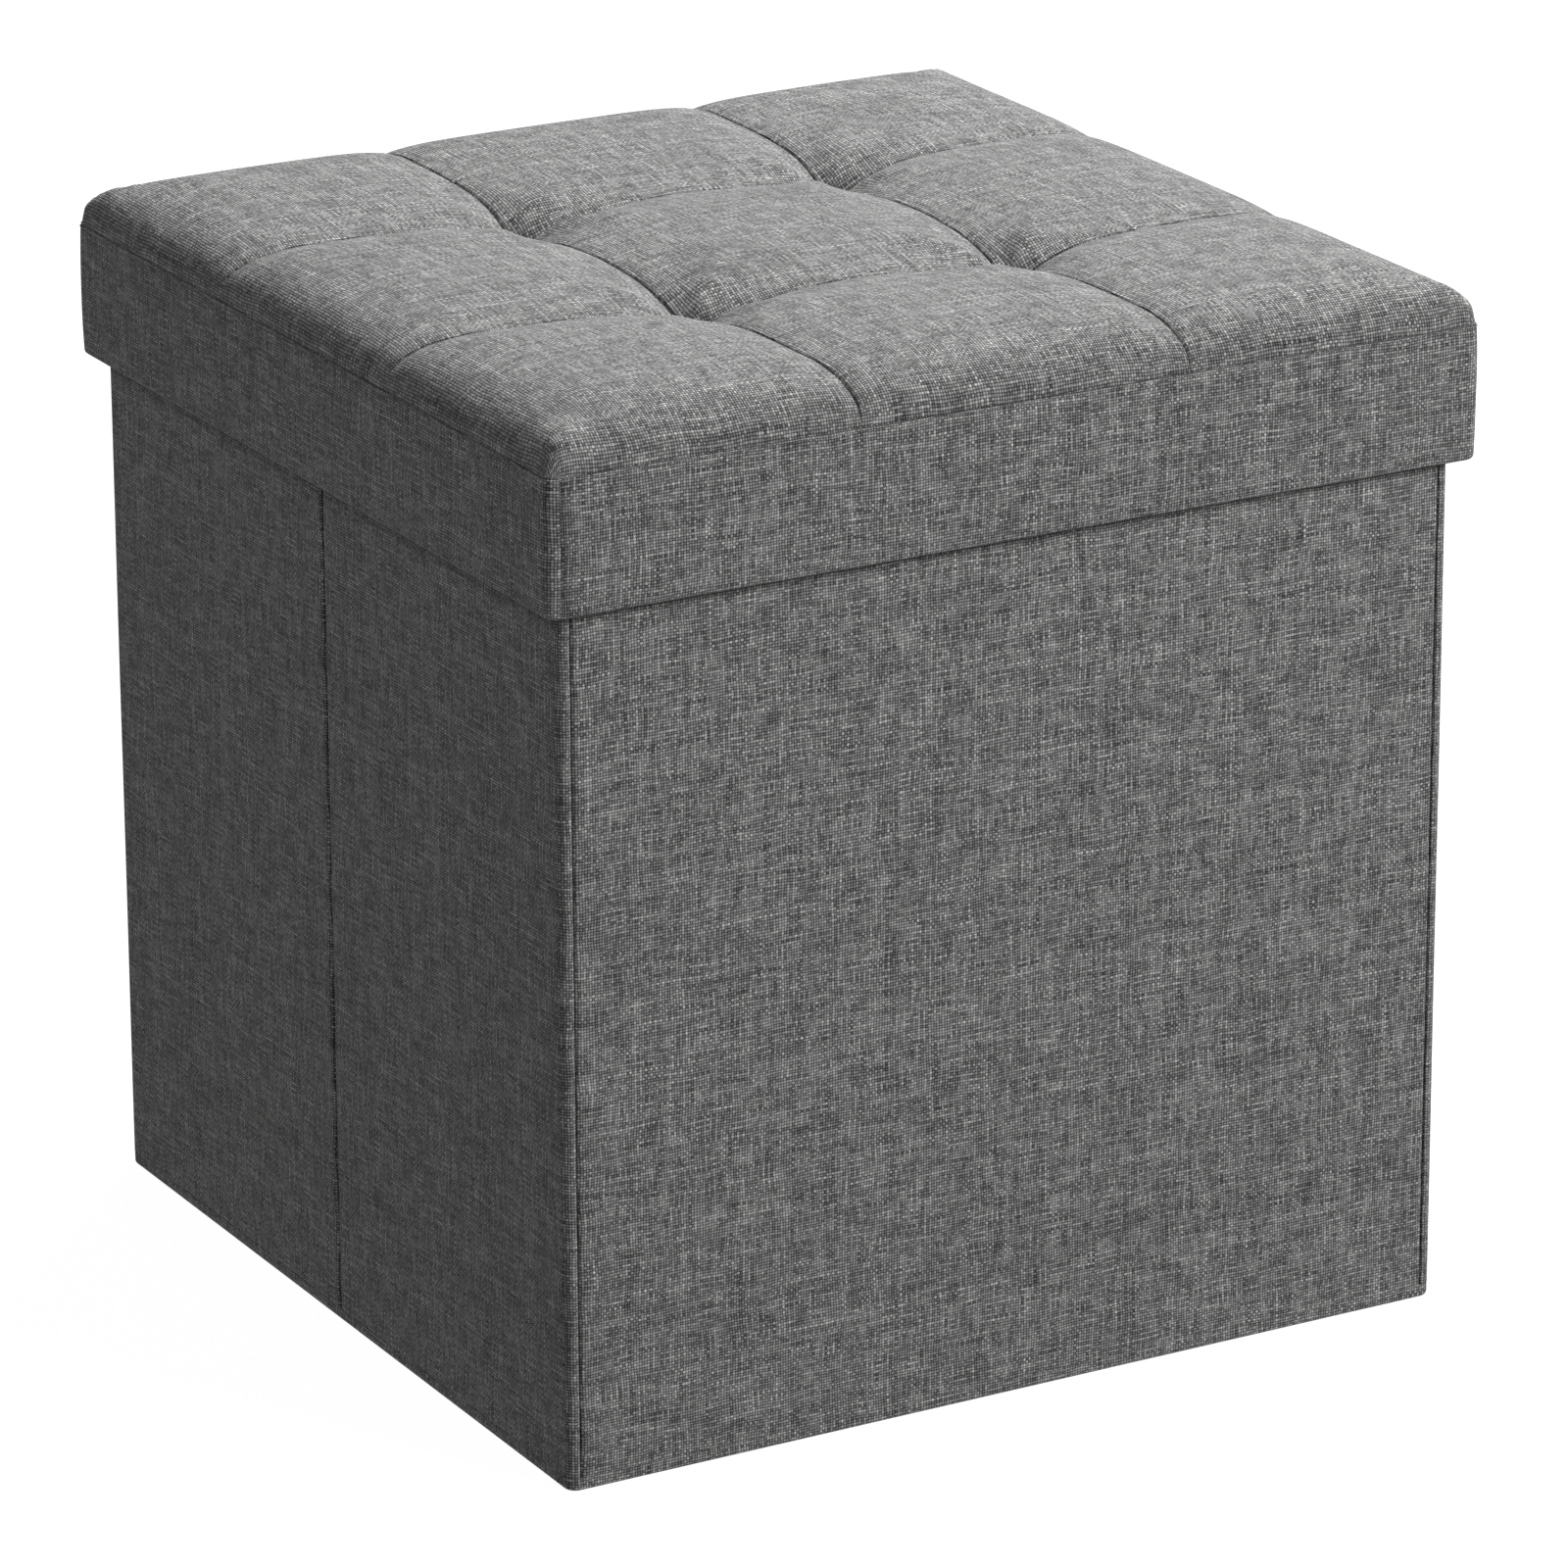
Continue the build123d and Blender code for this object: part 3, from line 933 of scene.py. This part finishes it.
def make_ties(grid):
    """Thread of each tuft, from the board to a coiled knot on the cover."""
    points, faces = [], []
    ring = 10

    def tube(path, radius):
        """Tube of thread along a path, closed at both ends."""
        base = len(points)
        for k, place in enumerate(path):
            ahead = (path[min(k + 1, len(path) - 1)] - path[max(k - 1, 0)]).normalized()
            side = ahead.cross(Vector((0.3, 0.2, 1.0))).normalized()
            other = ahead.cross(side)
            for m in range(ring):
                angle = 2 * math.pi * m / ring
                points.append(place + (side * math.cos(angle) + other * math.sin(angle)) * radius)
        for k in range(len(path) - 1):
            for m in range(ring):
                after = (m + 1) % ring
                low, high = base + k * ring, base + (k + 1) * ring
                faces.append((low + m, low + after, high + after, high + m))
        faces.append(tuple(base + m for m in reversed(range(ring))))
        faces.append(tuple(base + (len(path) - 1) * ring + m for m in range(ring)))

    for i in (FIRST_SEAM, FIRST_SEAM + PAD_STEPS):
        for j in (FIRST_SEAM, FIRST_SEAM + PAD_STEPS):
            x, y, z = grid[i, j]
            rest = z - 1.3 * MM
            tube([Vector((x + 0.25 * MM * math.sin(9 * t), y, board_high + (rest - board_high) * t))
                  for t in np.linspace(0, 1, 8)], TIE_RADIUS)
            coil = []
            for t in np.linspace(0, 1, 24 * KNOT_TURNS):
                angle = 2 * math.pi * KNOT_TURNS * t
                reach = KNOT_RADIUS * (0.35 + 0.45 * math.sin(math.pi * t))
                coil.append(Vector((x + reach * math.cos(angle), y + reach * math.sin(angle),
                                    rest + (0.2 + 1.9 * t) * TIE_RADIUS)))
            tube(coil, 0.45 * TIE_RADIUS)
    ties = new_object("tuft_cords", points, faces)
    finish_piece(ties, "thread", "lid")
    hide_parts("tuft_ties")


SKIRT_RADIUS = 4.5 * MM
SKIRT_EDGE = 2.0 * MM
SKIRT_BULGE = 0.5 * MM
LINING = 0.3 * MM


def band_profile():
    """Section of the skirt's cloth as (depth in from the face, height), a little barrelled."""
    high = SEAM_HEIGHT - 0.25 * MM
    bead = ((2.6, 0.35), (1.1, 0.22), (0.5, 0.12), (0.05, 0.15), (-0.25, 0.4), (-0.22, 0.75), (0.12, 1.1))
    points = [(inward * MM, high - down * MM) for inward, down in bead]
    low = skirt_low + SKIRT_EDGE
    middle = 0.5 * (low + high)
    reach = high - middle
    for z in np.linspace(high - 1.6 * MM, low, 26):
        share = abs(z - middle) / reach
        points.append((-SKIRT_BULGE * (1 - share ** 2.4), z))
    for k in range(1, 11):
        angle = math.pi * k / 10
        points.append((SKIRT_EDGE * (1 - math.cos(angle)), low - SKIRT_EDGE * math.sin(angle)))
    points.append((2 * SKIRT_EDGE, low + 6 * MM))
    return np.array(points)


def ring_path(half, radius, step):
    """Plan points, inward normals and runs round a square with rounded corners."""
    stations, normals, runs = [], [], []
    run = 0.0
    straight = half - radius
    arc_steps = 12
    for turn in range(4):
        rotate = Matrix.Rotation(turn * math.pi / 2, 2)
        places = [((x, -half), (0.0, 1.0)) for x in spread(-straight, straight, step)]
        for k in range(1, arc_steps):
            angle = math.pi / 2 * k / arc_steps
            places.append(((straight + radius * math.sin(angle), -straight - radius * math.cos(angle)),
                           (-math.sin(angle), math.cos(angle))))
        for place, normal in places:
            point = rotate @ Vector(place)
            if stations:
                run += (point - Vector(stations[-1])).length
            stations.append(tuple(point))
            normals.append(tuple(rotate @ Vector(normal)))
            runs.append(run)
    return stations, normals, runs


def make_band():
    """Cloth round the lid's skirt, from the top seam to inside its lower edge."""
    profile = band_profile()
    stations, normals, runs = ring_path(lid_half, SKIRT_RADIUS, 8 * MM)
    steps = run_lengths(profile)
    stations.append(stations[0])
    normals.append(normals[0])
    runs.append(runs[-1] + (Vector(stations[0]) - Vector(stations[-2])).length)
    points, uvs = [], []
    for place, normal, run in list(zip(stations, normals, runs))[::-1]:
        for (depth, height), down in zip(profile, steps):
            share = math.sin(math.pi * (height - skirt_low) / (band_high - skirt_low))
            wave = 0.2 * MM * share * math.sin(run * 47.0) * math.sin(run * 17.0 + height * 60.0)
            inward = depth - (wave if depth < SKIRT_EDGE else 0.0)
            points.append((place[0] + normal[0] * inward, place[1] + normal[1] * inward, height))
            uvs.append((run, -down))
    obj = new_object("lid_band_cloth", points, grid_faces(len(stations), len(profile)), uvs)
    weld = obj.modifiers.new("weld", "WELD")
    weld.merge_threshold = 0.01 * MM
    thicken(obj, CLOTH)
    finish_piece(obj, "linen_cover", "lid")
    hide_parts(*[f"lid_band_{side}" for side in SIDES])


def ring_piece(name, section, radius, step):
    """Closed ring round the lid with a given section of (depth in from the lid's face, height)."""
    stations, normals, _ = ring_path(lid_half, radius, step)
    points = [(place[0] + normal[0] * depth, place[1] + normal[1] * depth, height)
              for place, normal in zip(stations, normals) for depth, height in section]
    rows, columns = len(stations), len(section)
    faces = []
    for i in range(rows):
        k = (i + 1) % rows
        for j in range(columns):
            m = (j + 1) % columns
            faces.append((i * columns + m, i * columns + j, k * columns + j, k * columns + m))
    return new_object(name, points, faces)


def make_skirt_inside():
    """Boards of the skirt with rounded lower edges, and the lining inside them."""
    out = lid_half - skirt_board_out
    back = lid_half - skirt_inner - LINING
    ease = 1.3 * MM
    section = [(out, skirt_board_high), (out, skirt_board_low + ease)]
    section += [(out + ease * (1 - math.cos(a)), skirt_board_low + ease * (1 - math.sin(a)))
                for a in np.linspace(0.3, math.pi / 2, 4)]
    section += [(back - ease * (1 - math.cos(a)), skirt_board_low + ease * (1 - math.sin(a)))
                for a in np.linspace(math.pi / 2, 0.3, 4)]
    section += [(back, skirt_board_low + ease), (back, skirt_board_high)]
    boards = ring_piece("skirt_board_ring", section, SKIRT_RADIUS, 20 * MM)
    finish_piece(boards, "fibreboard", "lid")
    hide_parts(*[f"skirt_board_{side}" for side in SIDES])

    foot = skirt_low + SKIRT_EDGE + 4.5 * MM
    section = [(back, lining_low), (back, foot), (back + LINING, foot), (back + LINING, lining_low)]
    ring = ring_piece("skirt_lining_ring", section, SKIRT_RADIUS, 20 * MM)
    finish_piece(ring, "black_lining", "lid")
    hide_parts(*[f"skirt_lining_{side}" for side in SIDES])


def make_lid_lining():
    """Sheet of lining stapled flat under the lid board."""
    half = skirt_inner
    count = 48
    points = []
    for y in np.linspace(-half, half, count):
        for x in np.linspace(-half, half, count):
            sag = 0.5 + 0.5 * math.sin(x * 61 + 0.7) * math.sin(y * 47 + 0.4)
            px, py = rounded_plan(x, y, half, 1.0 * MM)
            points.append((px, py, lining_low + 0.12 * MM * sag))
    sheet = new_object("lid_lining_sheet", points, [tuple(reversed(f)) for f in square_grid_faces(count)])
    thicken(sheet, 0.15 * MM)
    finish_piece(sheet, "black_lining", "lid")
    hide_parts("lid_lining")


# ---------------------------------------------------------------- inside

def make_floor_cloth():
    """Sewn-in floor, one sheet of lining cloth with a slight unevenness."""
    low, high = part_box("floor_cloth")
    count = 40
    points, uvs = [], []
    for y in np.linspace(low.y, high.y, count):
        for x in np.linspace(low.x, high.x, count):
            wave = 0.5 + 0.5 * math.sin(x * 70 + 1.3) * math.sin(y * 55)
            points.append((x, y, high.z - 0.15 * MM * wave))
            uvs.append((x, y))
    faces = square_grid_faces(count)
    sheet = thicken(new_object("floor_sheet", points, faces, uvs), 0.3 * MM)
    finish_piece(sheet, "black_lining", "rear_wall")
    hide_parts("floor_cloth")
    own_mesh(sheet)


def make_base_cloth():
    """Cloth drawn over the base board, with rolled edges."""
    low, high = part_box("base_cloth_top")
    half_x = high.x
    half_y = high.y
    points, uvs = [], []
    roll = 1.4 * MM
    edge_line = spread(-1.0, 1.0, 0.04, (-1.0, (0.0, 0.002, 0.004, 0.008)), (1.0, (0.0, 0.002, 0.004, 0.008)))
    for v in edge_line:
        for u in edge_line:
            gap = min(half_x * (1 - abs(u)), half_y * (1 - abs(v)))
            fall = roll * (1 - math.sqrt(max(0.0, 1 - (1 - min(gap / roll, 1.0)) ** 2)))
            points.append((u * half_x, v * half_y, high.z - fall))
            uvs.append((u * half_x, v * half_y))
    count = len(edge_line)
    faces = square_grid_faces(count)
    rim = [i * count + j for i, j in grid_rim(count)]
    start = len(points)
    for k in rim:
        points.append((points[k][0], points[k][1], low.z))
        uvs.append(uvs[k])
    for k in range(len(rim)):
        m = (k + 1) % len(rim)
        faces.append((rim[m], rim[k], start + k, start + m))
    cover = thicken(new_object("base_board_cloth", points, faces, uvs), 0.25 * MM)
    finish_piece(cover, "black_lining", "base")
    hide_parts("base_cloth_top")


def make_pull_tab():
    """Flat ribbon loop: two layers folded at the free end; the bar tack over the fixed end is not drawn."""
    low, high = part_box("base_pull_tab")
    half = 0.5 * (high.x - low.x)
    length = high.y - low.y
    thick = high.z - low.z
    layer = 0.42 * thick
    section = [(0.0, 0.0), (length - 0.3 * MM, 0.0), (length, 0.35 * thick), (length, 0.65 * thick),
               (length - 0.3 * MM, thick), (0.0, thick)]
    inner = [(0.0, thick - layer), (length - 0.8 * MM, thick - layer), (length - 0.6 * MM, 0.5 * thick),
             (length - 0.8 * MM, layer), (0.0, layer)]
    outline = section + inner
    points = [(x, low.y + y, low.z + z) for x in np.linspace(-half, half, 9) for y, z in outline]
    rows, columns = 9, len(outline)
    faces = []
    for i in range(rows - 1):
        for j in range(columns):
            k = (j + 1) % columns
            faces.append((i * columns + j, i * columns + k, (i + 1) * columns + k, (i + 1) * columns + j))
    faces.append(tuple(reversed(range(columns))))
    faces.append(tuple((rows - 1) * columns + j for j in range(columns)))
    tab = new_object("ribbon_tab", points, faces, smooth=False)
    finish_piece(tab, "ribbon", "base")
    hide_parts("base_pull_tab")


# ---------------------------------------------------------------- stage

CAMERA_AZIMUTH = math.radians(-29.281)
CAMERA_ELEVATION = math.radians(19.29)
CAMERA_ROLL = math.radians(0.226)
CAMERA_DISTANCE = 3.1175
CAMERA_LENS = 190.3
CAMERA_SENSOR = 36.0
AIM = Vector((0.0060, -0.0034, 0.1796))


def make_camera():
    """Camera at the photograph's viewing angle."""
    a, e = CAMERA_AZIMUTH, CAMERA_ELEVATION
    back = Vector((math.sin(a) * math.cos(e), -math.cos(a) * math.cos(e), math.sin(e)))
    right = Vector((math.cos(a), math.sin(a), 0.0))
    up = back.cross(right)
    tilted_right = right * math.cos(CAMERA_ROLL) - up * math.sin(CAMERA_ROLL)
    tilted_up = right * math.sin(CAMERA_ROLL) + up * math.cos(CAMERA_ROLL)
    data = bpy.data.cameras.new("camera")
    data.sensor_width = CAMERA_SENSOR
    data.lens = CAMERA_LENS
    data.clip_end = 100.0
    camera = place_object("camera", data)
    turn = Matrix((tilted_right, tilted_up, back)).transposed().to_4x4()
    camera.matrix_world = Matrix.Translation(AIM + back * CAMERA_DISTANCE) @ turn
    bpy.context.scene.camera = camera


def soft_light(name, towards, distance, size, power):
    """Square softbox that looks at the middle of the box from a direction."""
    data = bpy.data.lights.new(name, "AREA")
    data.shape = "SQUARE"
    data.size = size
    data.energy = power
    light = place_object(name, data)
    direction = Vector(towards).normalized()
    light.location = Vector((0.0, 0.0, 0.2)) + direction * distance
    light.rotation_mode = "QUATERNION"
    light.rotation_quaternion = direction.to_track_quat("Z", "Y")


def make_stage():
    """Pale floor, dim surround and soft lights."""
    size = 30.0
    floor = new_object("pale_floor", [(-size, -size, 0), (size, -size, 0), (size, size, 0), (-size, size, 0)],
                       [(0, 1, 2, 3)], smooth=False)
    n = Nodes("pale_floor")
    grain = n.noise(n.coordinates("Object"), 3.0, 3.0)
    n.set(Base_Color=n.ramp(grain, (0.3, (0.115, 0.115, 0.115)), (0.7, (0.12, 0.12, 0.12))), Roughness=1.0)
    n.shader.inputs["Specular IOR Level"].default_value = 0.0
    n.shader.inputs["Emission Color"].default_value = (1.0, 1.0, 1.0, 1.0)
    n.shader.inputs["Emission Strength"].default_value = 0.97
    floor.data.materials.append(n.material)
    floor.visible_diffuse = False

    world = bpy.data.worlds.new("surround")
    bpy.context.scene.world = world
    world.use_nodes = True
    tree = world.node_tree
    background = tree.nodes["Background"]
    background.inputs["Strength"].default_value = 1.0
    path = tree.nodes.new("ShaderNodeLightPath")
    shade = tree.nodes.new("ShaderNodeMix")
    shade.data_type = "RGBA"
    shade.inputs["A"].default_value = (0.18, 0.18, 0.18, 1.0)
    shade.inputs["B"].default_value = (1.0, 1.0, 1.0, 1.0)
    tree.links.new(path.outputs["Is Camera Ray"], shade.inputs["Factor"])
    tree.links.new(shade.outputs["Result"], background.inputs["Color"])

    soft_light("key", (0.62, 0.56, 0.86), 2.8, 0.8, 120.0)
    soft_light("front_fill", (0.55, -1.0, 0.62), 2.6, 0.8, 59.0)
    soft_light("left_fill", (-1.0, -0.15, 1.1), 2.6, 0.7, 6.5)
    bpy.context.scene.view_settings.view_transform = "Standard"


# ---------------------------------------------------------------- scene

make_camera()
paint_cad_nodes()
make_boards()
make_walls()
fold_keep = make_hems()
make_floor_cloth()
make_base_cloth()
make_pull_tab()
make_pad()
make_band()
make_skirt_inside()
make_lid_lining()
make_stage()
